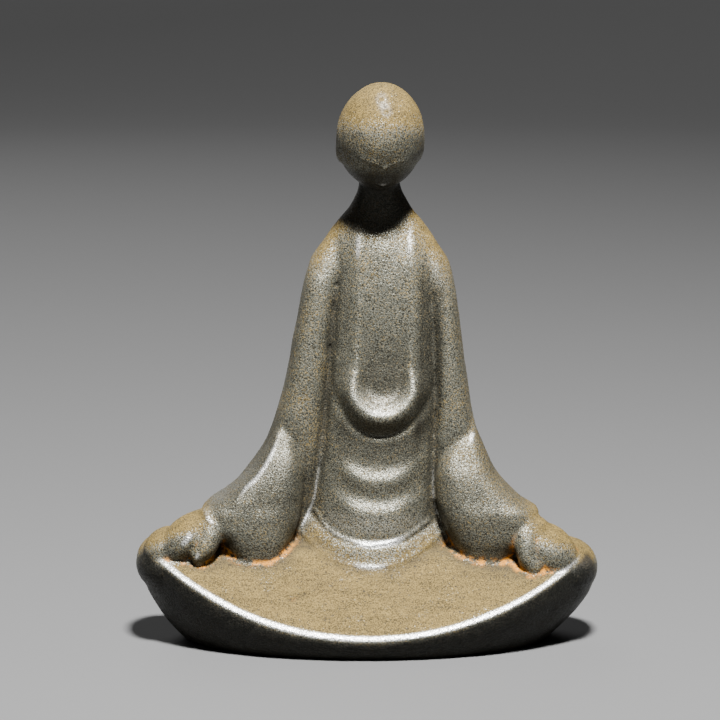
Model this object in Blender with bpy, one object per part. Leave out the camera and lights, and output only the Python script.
"""Small seated figure in meditation, one casting with a bowed head, a draped robe and a boat-shaped lap.

The figure faces -Y, +X is on the right of someone who looks at it, and it stands on the plane z = 0.
Every form is a skin of closed rings whose places are worked out here. The skins overlap, a Remesh
modifier fuses them into one body, and a Boolean cuts the underside flat.
"""

import math

import bmesh
import bpy
import numpy as np

# Driving size. The figure is a free form, so its proportions are shares of its height. They are
# written below in design units: what they measure in millimetres when the figure is DESIGN_HEIGHT tall.
HEIGHT = 0.113
DESIGN_HEIGHT = 113.0
UNIT = HEIGHT / DESIGN_HEIGHT

# The whole figure leans a little to +X and its trunk sways a little further, while its foot stays level.
LEAN = math.radians(1.4)
LEVEL_FOOT = 14.0
SWAY = 1.0
SWAY_BOTTOM = 25.0
SWAY_TOP = 55.0
HEAD_SWAY_BACK = 0.6
NECK_BOTTOM = 84.0
NECK_TOP = 96.0

# Base: a boat-shaped body, with a rim that is low in front and rises to the knees.
BASE_HALF_WIDTH = 46.0
BASE_HALF_DEPTH = 23.0
FOOT_HALF_WIDTH = 36.2
FOOT_HALF_DEPTH = 20.4
HULL_ROUNDING = 1.85
RIM_FRONT = 4.5
RIM_BACK = 9.0
RIM_RISE_LEFT = 15.2
RIM_RISE_RIGHT = 17.2
RIM_RISE_POWER = 2.1
KNEE_WIDEST = 15.9
KNEE_ROUNDING = 11.2
LAP_SLOPE = 1.06
LAP_SLOPE_LOSS = 0.62
LAP_TOP = 21.0
LAP_TOP_FALL = 2.6
LAP_TOP_HALF_DEPTH = 14.0
KNEE_HALF_SIZES = (6.5, 11.0, 5.7)
LEFT_KNEE = (BASE_HALF_WIDTH - 5.8, 0.3, 14.7)
RIGHT_KNEE = (BASE_HALF_WIDTH - 6.1, 0.3, 15.6)
LAP_BLEND = 1.6
BELOW_GROUND = 3.0

# Robe over the trunk, as level sections: height, half width, depth in front, depth behind, centre y.
TRUNK = (
    (10.0, 17.4, 14.1, 19.0, 2.5),
    (16.2, 17.0, 13.6, 18.0, 2.5),
    (18.4, 16.2, 12.9, 17.4, 2.5),
    (20.4, 15.2, 12.1, 16.6, 2.5),
    (21.6, 14.3, 11.0, 15.9, 2.5),
    (24.4, 13.9, 10.7, 14.6, 2.5),
    (34.0, 12.9, 10.6, 12.2, 2.5),
    (46.0, 12.3, 10.4, 11.4, 2.5),
    (60.0, 12.0, 9.8, 10.8, 2.5),
    (72.0, 11.9, 9.0, 9.8, 2.3),
    (79.0, 11.2, 7.8, 8.4, 2.0),
    (84.0, 8.8, 6.0, 6.6, 1.6),
    (88.0, 5.8, 4.6, 5.2, 0.8),
    (92.0, 4.1, 3.9, 4.4, -0.2),
    (97.0, 3.8, 3.8, 4.2, -1.6),
)
TRUNK_SQUARENESS = 2.2
PANEL_SHIFT = 1.2
PANEL_SHIFT_TOP = 84.0
PANEL_SHIFT_FULL = 74.0
HEM_LIFT = 6.2
HEM_LIFT_POWER = 2.6
HEM_LIFT_TOP = 44.0
HEM_LIFT_BOTTOM = 24.0

# Relief on the robe's front: a cowl that hangs as a long U with the chest inside it, a hanging fold
# below it, and the belly. A ridge is its height and half width, and its place is how far out of the U it is.
COWL_HALF_WIDTH = 5.2
COWL_TURN = 54.5
COWL_DROP = 6.0
COWL_BOTTOM = (57.5, 50.5)
CHEST_DEPTH = (0.35, 0.75)
CHEST_DEEPER = (72.0, 56.0)
CHEST_EDGE = (-1.6, 0.4)
ROLL_PLACE = (0.2, 1.5)
ROLL_SIDE = (0.5, 1.6)
ROLL_BELOW = (1.9, 0.6)
ROLL_INNER_WIDTH = (1.4, 0.3)
HOLLOW_PLACE = 5.0
HOLLOW = (-0.45, 0.6)
LEDGE_PLACE = 6.0
LEDGE = (0.2, 0.9)
FOLD_LOW = 33.4
FOLD_BOW = 0.05
FOLD_HEIGHT = 1.1
FOLD_ABOVE = 1.8
FOLD_BELOW = 2.8
BELLY_LOW = 26.8
BELLY_BOW = 0.035
BELLY_HEIGHT = 1.8
BELLY_ABOVE = 2.6
BELLY_BELOW = 9.0
FOLD_ENDS = (3.0, 11.5)
COLLAR = (90.0, 82.0)

# Upper arms, as level sections: height, outer edge, inner edge, half depth, centre y.
UPPER_ARM = (
    (22.0, 26.0, 11.0, 5.0, 0.6),
    (27.1, 27.8, 10.8, 5.4, 0.7),
    (29.6, 27.8, 10.6, 5.8, 0.8),
    (32.0, 26.4, 10.5, 6.2, 1.0),
    (34.4, 24.7, 10.4, 6.4, 1.1),
    (36.8, 23.1, 10.4, 6.6, 1.3),
    (39.7, 21.6, 10.5, 6.8, 1.4),
    (44.6, 20.0, 10.6, 7.0, 1.6),
    (54.3, 18.0, 10.2, 7.0, 1.7),
    (64.0, 16.4, 9.5, 6.9, 1.8),
    (71.3, 15.2, 8.4, 6.5, 1.9),
    (76.2, 13.9, 6.6, 5.6, 2.0),
    (80.6, 11.2, 4.6, 4.2, 2.0),
    (83.4, 9.3, 4.9, 2.4, 1.8),
    (84.8, 8.0, 6.4, 1.0, 1.8),
)
ARM_SQUARENESS = 2.5
ARM_EDGE_SHIFT = 0.8

# Wide sleeves that hang from the elbows: height, inner edge, outer edge, depth in front, behind, centre y.
LEFT_SLEEVE = (
    (12.0, 17.4, 26.0, 6.0, 6.0, -3.5),
    (17.0, 16.9, 26.9, 6.8, 7.0, -3.5),
    (18.8, 16.1, 28.2, 7.3, 7.1, -3.4),
    (20.9, 15.3, 29.9, 7.8, 7.2, -3.3),
    (24.0, 14.3, 33.6, 8.3, 7.2, -3.0),
    (26.2, 13.7, 33.4, 8.4, 6.9, -2.7),
    (28.0, 13.4, 32.0, 8.3, 6.6, -2.4),
    (30.3, 13.3, 28.7, 8.2, 6.4, -2.1),
    (34.9, 13.5, 23.9, 7.6, 6.0, -1.6),
    (39.7, 14.9, 21.2, 5.9, 5.0, -1.0),
    (42.6, 16.7, 19.8, 4.2, 3.6, -0.8),
    (44.2, 17.8, 18.8, 1.0, 1.6, -0.8),
)
RIGHT_SLEEVE = (
    (12.0, 19.4, 27.4, 4.2, 6.0, -3.5),
    (17.0, 18.8, 28.6, 5.6, 7.0, -3.5),
    (19.7, 17.4, 30.2, 6.6, 7.2, -3.3),
    (21.5, 16.4, 31.8, 7.3, 7.2, -3.2),
    (24.0, 15.2, 34.4, 7.9, 7.2, -3.0),
    (27.6, 13.8, 34.0, 8.4, 6.8, -2.6),
    (30.0, 13.2, 30.4, 8.2, 6.4, -2.2),
    (34.9, 12.9, 25.2, 7.5, 6.0, -1.6),
    (38.3, 13.4, 23.2, 6.4, 5.4, -1.2),
    (41.2, 15.8, 21.6, 5.0, 4.6, -1.0),
    (43.4, 17.6, 20.5, 3.2, 3.6, -0.8),
    (45.4, 19.0, 19.8, 0.8, 2.0, -0.8),
)
SLEEVE_SQUARENESS = 3.0

# Hands, as places outward, back and up from the knee's centre, with half sizes and a tip outwards.
LEFT_PALM = (-4.1, -6.5, 6.3)
LEFT_PALM_SIZES = (6.5, 5.4, 4.0)
LEFT_PALM_ROLL = math.radians(42.0)
LEFT_THUMB = (
    (-8.3, -8.0, 10.6),
    (-8.85, -9.3, 8.0),
    (-8.0, -10.3, 5.3),
    (-6.7, -10.8, 3.6),
)
LEFT_THUMB_RADII = (2.2, 2.5, 2.3, 1.7)
LEFT_KNUCKLES = (-7.0, -7.0, 8.9)
LEFT_KNUCKLE_SIZES = (3.0, 3.7, 3.0)
LEFT_HEEL = (0.6, -4.0, 3.7)
LEFT_HEEL_SIZES = (4.6, 6.0, 3.6)
RIGHT_PALM = (-3.7, -6.6, 4.4)
RIGHT_PALM_SIZES = (6.7, 5.6, 4.9)
RIGHT_PALM_ROLL = math.radians(45.0)
RIGHT_THUMB = (
    (-8.1, -8.4, 9.6),
    (-8.6, -9.6, 7.2),
    (-8.2, -10.5, 4.3),
    (-6.8, -11.0, 2.0),
)
RIGHT_THUMB_RADII = (2.2, 2.4, 2.2, 1.7)
RIGHT_KNUCKLES = (-6.8, -7.2, 8.2)
RIGHT_KNUCKLE_SIZES = (3.6, 3.8, 3.4)
RIGHT_HEEL = (1.0, -1.5, 3.0)
RIGHT_HEEL_SIZES = (3.6, 6.0, 2.8)
WRIST_START = (28.0, -4.0, 24.6)
WRIST_END_SHIFT = (-2.4, 0.0, 2.0)
WRIST_RADIUS = 3.5

# Ears, in the head's own frame: place and half sizes.
EAR_PLACE = (7.3, -0.6, -0.9)
EAR_HALF_SIZES = (1.6, 2.8, 5.0)

# Bowed head, in its own frame before the bow.
HEAD_CENTRE = (0.0, -5.0, 102.2)
HEAD_HALF_SIZES = (8.6, 9.6, 11.2)
HEAD_BOW = math.radians(35.0)
HEAD_TURN = math.radians(7.0)
HEAD_CHIN = 0.08

# Colour, roughness and metallic sheen of the surface.
IRON_COLOUR = (0.20, 0.18, 0.14, 1.0)
IRON_ROUGHNESS = 0.5
IRON_SHEEN = 0.35

# Points round a ring and rings along a skin, all finer than VOXEL, the size that the fused body keeps.
VOXEL = 0.9
SOFTENING = 0.5
SOFTENING_PASSES = 2
KEPT_SHARE = 0.17
HULL_SECTORS = 200
WALL_RINGS = 24
LAP_RINGS = 40
LAP_CENTRE_SHARE = 0.04
RIM_PASSES = 6
TRUNK_SECTORS = 220
TRUNK_RINGS = 230
ARM_SECTORS = 64
ARM_RINGS = 70
SLEEVE_SECTORS = 96
SLEEVE_RINGS = 90
EGG_SECTORS = 72
EGG_RINGS = 50
EGG_END = 0.49 * math.pi
LIMB_SECTORS = 24
LIMB_STEPS = 24
CAP_TURNS = np.linspace(0.05, 0.5, 6) * math.pi


def smooth_step(low, high, at):
    """0 up to low, 1 from high on, and a smooth S between them."""
    share = np.clip((at - low) / (high - low), 0.0, 1.0)
    return share * share * (3.0 - 2.0 * share)


def through(places, values, at):
    """A smooth curve through the stations that never overshoots them.

    Each span is a cubic, and the slope at a station is the harmonic mean of its neighbours' slopes."""
    places = np.asarray(places, float)
    values = np.asarray(values, float)
    span = np.diff(places)
    slope = np.diff(values) / span
    product = slope[1:] * slope[:-1]
    total = slope[1:] + slope[:-1]
    mean = np.where(product > 0.0, 2.0 * product / np.where(total == 0.0, 1.0, total), 0.0)
    tangent = np.concatenate([slope[:1], mean, slope[-1:]])
    at = np.clip(at, places[0], places[-1])
    index = np.clip(np.searchsorted(places, at, side="right") - 1, 0, len(span) - 1)
    t = (at - places[index]) / span[index]
    return (
        (1.0 + 2.0 * t) * (1.0 - t) ** 2 * values[index]
        + t * (1.0 - t) ** 2 * span[index] * tangent[index]
        + t * t * (3.0 - 2.0 * t) * values[index + 1]
        + t * t * (t - 1.0) * span[index] * tangent[index + 1]
    )


def ring_angles(count):
    return np.arange(count) * (2.0 * math.pi / count)


def signed_power(value, power):
    return np.sign(value) * np.abs(value) ** power


def soft_minimum(a, b, blend):
    """The lower of two heights, with the corner between them rounded over the blend."""
    share = np.clip(0.5 + 0.5 * (b - a) / blend, 0.0, 1.0)
    return b + (a - b) * share - blend * share * (1.0 - share)


def rim_height(x):
    """Height of the front rim: low in the middle, rising as a power of the way out to a knee."""
    way = np.clip(x / BASE_HALF_WIDTH, -1.0, 1.0)
    rise = np.where(way < 0.0, RIM_RISE_LEFT, RIM_RISE_RIGHT)
    return RIM_FRONT + rise * np.abs(way) ** RIM_RISE_POWER


def lap_height(x, y):
    """Height of the base's upper side.

    A slope climbs from the front rim, a quarter round comes up from the back rim, and a low dome
    from knee to knee caps them."""
    way = np.clip(np.abs(x) / BASE_HALF_WIDTH, 0.0, 0.999)
    edge = BASE_HALF_DEPTH * np.sqrt(1.0 - way**2)
    front = rim_height(x) + (LAP_SLOPE - LAP_SLOPE_LOSS * way**2) * (y + edge)
    arch = KNEE_WIDEST + (LAP_TOP - KNEE_WIDEST) * np.sqrt(1.0 - way**2)
    dome = arch - LAP_TOP_FALL * (y / LAP_TOP_HALF_DEPTH) ** 2
    back_rim = RIM_BACK + (KNEE_WIDEST - RIM_BACK) * way**RIM_RISE_POWER
    behind = np.clip(y / edge, 0.0, 1.0)
    back = back_rim + (LAP_TOP - back_rim) * np.sqrt(1.0 - behind**2)
    return soft_minimum(soft_minimum(front, dome, LAP_BLEND), back, LAP_BLEND)


def wall_inset(z, widest):
    """Share of its widest outline that the wall has at a height: it rounds in to foot and knees."""
    below = np.maximum(1.0 - z / widest, 0.0) ** HULL_ROUNDING
    above = np.sqrt(1.0 - (np.maximum(z - widest, 0.0) / KNEE_ROUNDING) ** 2)
    across = (1.0 - (1.0 - FOOT_HALF_WIDTH / BASE_HALF_WIDTH) * below) * above
    along = (1.0 - (1.0 - FOOT_HALF_DEPTH / BASE_HALF_DEPTH) * below) * above
    return across, along


def hull_rings():
    """Rings of the base: a wall that rounds out from foot to rim, then the lap drawn in to the middle."""
    angle = ring_angles(HULL_SECTORS)
    wide_x = BASE_HALF_WIDTH * np.cos(angle)
    wide_y = BASE_HALF_DEPTH * np.sin(angle)
    rim_x, rim_y = wide_x, wide_y
    for _ in range(RIM_PASSES):
        rim_z = lap_height(rim_x, rim_y)
        widest = np.minimum(rim_z, KNEE_WIDEST)
        across, along = wall_inset(rim_z, widest)
        rim_x, rim_y = wide_x * across, wide_y * along
    rings = []
    for share in np.linspace(0.0, 1.0, WALL_RINGS):
        z = -BELOW_GROUND + (rim_z + BELOW_GROUND) * share
        across, along = wall_inset(z, widest)
        rings.append(np.stack([wide_x * across, wide_y * along, z], axis=1))
    for share in np.linspace(1.0, LAP_CENTRE_SHARE, LAP_RINGS)[1:]:
        x = rim_x * share
        y = rim_y * share
        rings.append(np.stack([x, y, lap_height(x, y)], axis=1))
    return rings


def ridge(distance, height, width):
    """A rounded ridge, or a hollow where the height is negative, that fades over its half width."""
    return height * np.exp(-((distance / width) ** 2))


def trunk_relief(x, z):
    """How far the robe's front stands out: the cowl's rolled edge, the chest in it, a fold and the belly."""
    x = x - PANEL_SHIFT
    below = smooth_step(*COWL_BOTTOM, z)
    straight = np.abs(x) / COWL_HALF_WIDTH
    turned = np.hypot(x / COWL_HALF_WIDTH, (z - COWL_TURN) / COWL_DROP)
    out = (np.where(z > COWL_TURN, straight, turned) - 1.0) * COWL_HALF_WIDTH
    chest_depth = CHEST_DEPTH[0] + CHEST_DEPTH[1] * smooth_step(*CHEST_DEEPER, z)
    chest = chest_depth * (smooth_step(*CHEST_EDGE, out) - 1.0)
    past_roll = out - ROLL_PLACE[0] - ROLL_PLACE[1] * below
    inner_width = ROLL_INNER_WIDTH[0] + ROLL_INNER_WIDTH[1] * below
    roll_width = np.where(past_roll > 0.0, ROLL_SIDE[1] + ROLL_BELOW[1] * below, inner_width)
    roll = ridge(past_roll, ROLL_SIDE[0] + ROLL_BELOW[0] * below, roll_width)
    hollow = below * ridge(out - HOLLOW_PLACE, *HOLLOW)
    ledge = below * ridge(out - LEDGE_PLACE, *LEDGE)
    above_fold = z - FOLD_LOW - FOLD_BOW * x**2
    fold = ridge(above_fold, FOLD_HEIGHT, np.where(above_fold > 0.0, FOLD_ABOVE, FOLD_BELOW))
    above_belly = z - BELLY_LOW - BELLY_BOW * x**2
    belly = ridge(above_belly, BELLY_HEIGHT, np.where(above_belly > 0.0, BELLY_ABOVE, BELLY_BELOW))
    across = 1.0 - smooth_step(*FOLD_ENDS, np.abs(x))
    return (chest + roll + hollow + ledge) * smooth_step(*COLLAR, z) + (fold + belly) * across


def trunk_rings():
    """Rings of the robe over the trunk: ovals whose foot curls up at the sides, with the relief in front."""
    heights = [row[0] for row in TRUNK]
    angle = ring_angles(TRUNK_SECTORS)
    across = np.sin(angle)
    along = np.cos(angle)
    power = 2.0 / TRUNK_SQUARENESS
    rings = []
    for height in np.linspace(heights[0], heights[-1], TRUNK_RINGS):
        width, front, back, centre = (
            through(heights, [row[k] for row in TRUNK], height) for k in range(1, 5)
        )
        shift = PANEL_SHIFT * float(smooth_step(PANEL_SHIFT_TOP, PANEL_SHIFT_FULL, height))
        x = shift + width * signed_power(across, power)
        depth = np.where(along > 0.0, front, back) * signed_power(along, power)
        fade = float(smooth_step(HEM_LIFT_TOP, HEM_LIFT_BOTTOM, height))
        lift = HEM_LIFT * fade * np.abs(across) ** HEM_LIFT_POWER
        z = height + lift
        relief = trunk_relief(x, z) * np.maximum(along, 0.0) ** 0.5
        rings.append(np.stack([x, centre - depth - relief, z], axis=1))
    return rings


def arm_rings(side):
    """Rings of an upper arm: level, slightly square ovals from an edge on the chest to the robe's outline."""
    heights = [row[0] for row in UPPER_ARM]
    angle = ring_angles(ARM_SECTORS)
    power = 2.0 / ARM_SQUARENESS
    rings = []
    for height in np.linspace(heights[0], heights[-1], ARM_RINGS):
        outer, inner, depth, centre = (
            through(heights, [row[k] for row in UPPER_ARM], height) for k in range(1, 5)
        )
        inner = inner + side * ARM_EDGE_SHIFT
        x = side * (outer + inner) / 2.0 + (outer - inner) / 2.0 * signed_power(np.sin(angle), power)
        y = centre - depth * signed_power(np.cos(angle), power)
        rings.append(np.stack([x, y, np.full_like(x, height)], axis=1))
    return rings


def sleeve_rings(side, stations):
    """Rings of a hanging sleeve: level, slightly square ovals from its hem on the lap up to the elbow."""
    heights = [row[0] for row in stations]
    angle = ring_angles(SLEEVE_SECTORS)
    power = 2.0 / SLEEVE_SQUARENESS
    rings = []
    for height in np.linspace(heights[0], heights[-1], SLEEVE_RINGS):
        inner, outer, front, back, centre = (
            through(heights, [row[k] for row in stations], height) for k in range(1, 6)
        )
        x = side * (inner + outer) / 2.0 + (outer - inner) / 2.0 * signed_power(np.sin(angle), power)
        along = np.cos(angle)
        y = centre - np.where(along > 0.0, front, back) * signed_power(along, power)
        rings.append(np.stack([x, y, np.full_like(x, height)], axis=1))
    return rings


def tipped(x, y, z, nod, roll, turn):
    """The place tipped forward by nod, then sideways by roll, then turned about the upright by turn."""
    y, z = y * math.cos(nod) - z * math.sin(nod), y * math.sin(nod) + z * math.cos(nod)
    x, z = x * math.cos(roll) + z * math.sin(roll), z * math.cos(roll) - x * math.sin(roll)
    x, y = x * math.cos(turn) - y * math.sin(turn), x * math.sin(turn) + y * math.cos(turn)
    return x, y, z


def egg_rings(centre, half_sizes, nod=0.0, roll=0.0, turn=0.0, chin=0.0):
    """Rings of an egg: ovals drawn in below by the chin share, tipped and turned about the centre."""
    angle = ring_angles(EGG_SECTORS)
    rings = []
    for tilt in np.linspace(-EGG_END, EGG_END, EGG_RINGS):
        height = math.sin(tilt)
        girth = math.cos(tilt) * (1.0 - chin * max(-height, 0.0) ** 1.5)
        x = half_sizes[0] * girth * np.sin(angle)
        y = -half_sizes[1] * girth * np.cos(angle)
        z = np.full_like(x, half_sizes[2] * height)
        rings.append(np.stack(tipped(x, y, z, nod, roll, turn), axis=1) + np.asarray(centre))
    return rings


def swept_rings(path, radii):
    """Rings of a round limb: circles square to a smooth path, closed by half-round ends."""
    path = np.asarray(path, float)
    stations = np.arange(len(path))
    steps = np.linspace(0.0, len(path) - 1.0, LIMB_STEPS)
    centre = np.stack([through(stations, path[:, k], steps) for k in range(3)], axis=1)
    radius = through(stations, radii, steps)
    ahead = np.gradient(centre, axis=0)
    ahead /= np.linalg.norm(ahead, axis=1)[:, None]
    side = np.cross(ahead, [0.0, 1.0, 0.0])
    side /= np.linalg.norm(side, axis=1)[:, None]
    up = np.cross(side, ahead)
    angle = ring_angles(LIMB_SECTORS)
    circle = [np.outer(np.cos(angle), side[k]) + np.outer(np.sin(angle), up[k]) for k in range(LIMB_STEPS)]
    first = [
        centre[0] + radius[0] * (circle[0] * math.sin(turn) - ahead[0] * math.cos(turn))
        for turn in CAP_TURNS
    ]
    middle = [centre[k] + radius[k] * circle[k] for k in range(1, LIMB_STEPS - 1)]
    last = [
        centre[-1] + radius[-1] * (circle[-1] * math.sin(turn) + ahead[-1] * math.cos(turn))
        for turn in CAP_TURNS[::-1]
    ]
    return first + middle + last


def hand_rings(side, knee, palm, palm_sizes, roll, thumb, radii, knuckles, knuckle_sizes, heel, heel_sizes):
    """Skins of one hand on its knee: the wrist and the thumb as limbs, and the palm with its curled
    fingers, the knuckles and the heel of the hand as eggs that lean outwards."""
    start = np.array(mirrored(WRIST_START, side))
    end = np.array(mirrored(np.add(knee, palm) + WRIST_END_SHIFT, side))
    skins = [
        swept_rings([start, (start + end) / 2.0, end], [WRIST_RADIUS] * 3),
        swept_rings([mirrored(np.add(knee, place), side) for place in thumb], radii),
    ]
    for place, sizes in ((palm, palm_sizes), (knuckles, knuckle_sizes), (heel, heel_sizes)):
        skins.append(egg_rings(mirrored(np.add(knee, place), side), sizes, roll=side * roll))
    return skins


def ear_rings(side):
    """Rings of one ear: a flat egg on the side of the head that bows and turns with it."""
    place = np.add(HEAD_CENTRE, tipped(*mirrored(EAR_PLACE, side), HEAD_BOW, 0.0, HEAD_TURN))
    return egg_rings(place, EAR_HALF_SIZES, nod=HEAD_BOW, turn=HEAD_TURN)


def mirrored(place, side):
    return (side * place[0], place[1], place[2])


def add_skin(mesh, rings):
    """Adds one closed skin: neighbouring rings are joined by squares, and both ends are capped."""
    layers = [[mesh.verts.new(point) for point in leaned(ring)] for ring in rings]
    for lower, upper in zip(layers, layers[1:]):
        count = len(lower)
        for k in range(count):
            after = (k + 1) % count
            mesh.faces.new((lower[k], lower[after], upper[after], upper[k]))
    mesh.faces.new(layers[0][::-1])
    mesh.faces.new(layers[-1])


def leaned(points):
    """Points in metres of the upright figure after its lean and its trunk's sway, with a level foot."""
    x, y, z = points[:, 0], points[:, 1], points[:, 2]
    sway = SWAY * smooth_step(SWAY_BOTTOM, SWAY_TOP, z)
    sway = sway - HEAD_SWAY_BACK * smooth_step(NECK_BOTTOM, NECK_TOP, z)
    settled = smooth_step(0.0, LEVEL_FOOT, z)
    across = x + z * math.tan(LEAN) + sway
    up = z - x * math.sin(LEAN) * settled
    return UNIT * np.stack([across, y, up], axis=1)


def cast_iron():
    """Rough cast iron with a grey-olive patina and a dull sheen."""
    material = bpy.data.materials.new("cast_iron")
    material.use_nodes = True
    shader = material.node_tree.nodes["Principled BSDF"]
    shader.inputs["Base Color"].default_value = IRON_COLOUR
    shader.inputs["Roughness"].default_value = IRON_ROUGHNESS
    shader.inputs["Metallic"].default_value = IRON_SHEEN
    return material


def ground_cutter():
    """A block under the ground that cuts the foot level."""
    size = 2.0 * HEIGHT
    bpy.ops.mesh.primitive_cube_add(size=size, location=(0.0, 0.0, -size / 2.0))
    cutter = bpy.context.object
    cutter.name = "ground_cutter"
    cutter.hide_render = True
    cutter.display_type = "WIRE"
    return cutter


def seated_figure():
    mesh = bmesh.new()
    head = egg_rings(HEAD_CENTRE, HEAD_HALF_SIZES, nod=HEAD_BOW, turn=HEAD_TURN, chin=HEAD_CHIN)
    skins = [hull_rings(), trunk_rings(), head]
    left_hand = (
        LEFT_PALM, LEFT_PALM_SIZES, LEFT_PALM_ROLL, LEFT_THUMB, LEFT_THUMB_RADII,
        LEFT_KNUCKLES, LEFT_KNUCKLE_SIZES, LEFT_HEEL, LEFT_HEEL_SIZES,
    )
    right_hand = (
        RIGHT_PALM, RIGHT_PALM_SIZES, RIGHT_PALM_ROLL, RIGHT_THUMB, RIGHT_THUMB_RADII,
        RIGHT_KNUCKLES, RIGHT_KNUCKLE_SIZES, RIGHT_HEEL, RIGHT_HEEL_SIZES,
    )
    for side, sleeve, hand, knee in (
        (-1.0, LEFT_SLEEVE, left_hand, LEFT_KNEE),
        (1.0, RIGHT_SLEEVE, right_hand, RIGHT_KNEE),
    ):
        skins.append(egg_rings(mirrored(knee, side), KNEE_HALF_SIZES))
        skins.append(ear_rings(side))
        skins.append(arm_rings(side))
        skins.append(sleeve_rings(side, sleeve))
        skins.extend(hand_rings(side, knee, *hand))
    for rings in skins:
        add_skin(mesh, rings)
    bmesh.ops.recalc_face_normals(mesh, faces=mesh.faces)
    data = bpy.data.meshes.new("seated_figure")
    mesh.to_mesh(data)
    mesh.free()
    figure = bpy.data.objects.new("seated_figure", data)
    bpy.context.collection.objects.link(figure)
    data.materials.append(cast_iron())

    fuse = figure.modifiers.new("fuse", "REMESH")
    fuse.mode = "VOXEL"
    fuse.voxel_size = VOXEL * UNIT
    fuse.use_smooth_shade = True
    soften = figure.modifiers.new("soften", "SMOOTH")
    soften.factor = SOFTENING
    soften.iterations = SOFTENING_PASSES
    thin = figure.modifiers.new("thin", "DECIMATE")
    thin.ratio = KEPT_SHARE
    level = figure.modifiers.new("level", "BOOLEAN")
    level.operation = "DIFFERENCE"
    level.solver = "EXACT"
    level.object = ground_cutter()
    return figure


def main():
    for thing in list(bpy.data.objects):
        bpy.data.objects.remove(thing)
    seated_figure()


main()
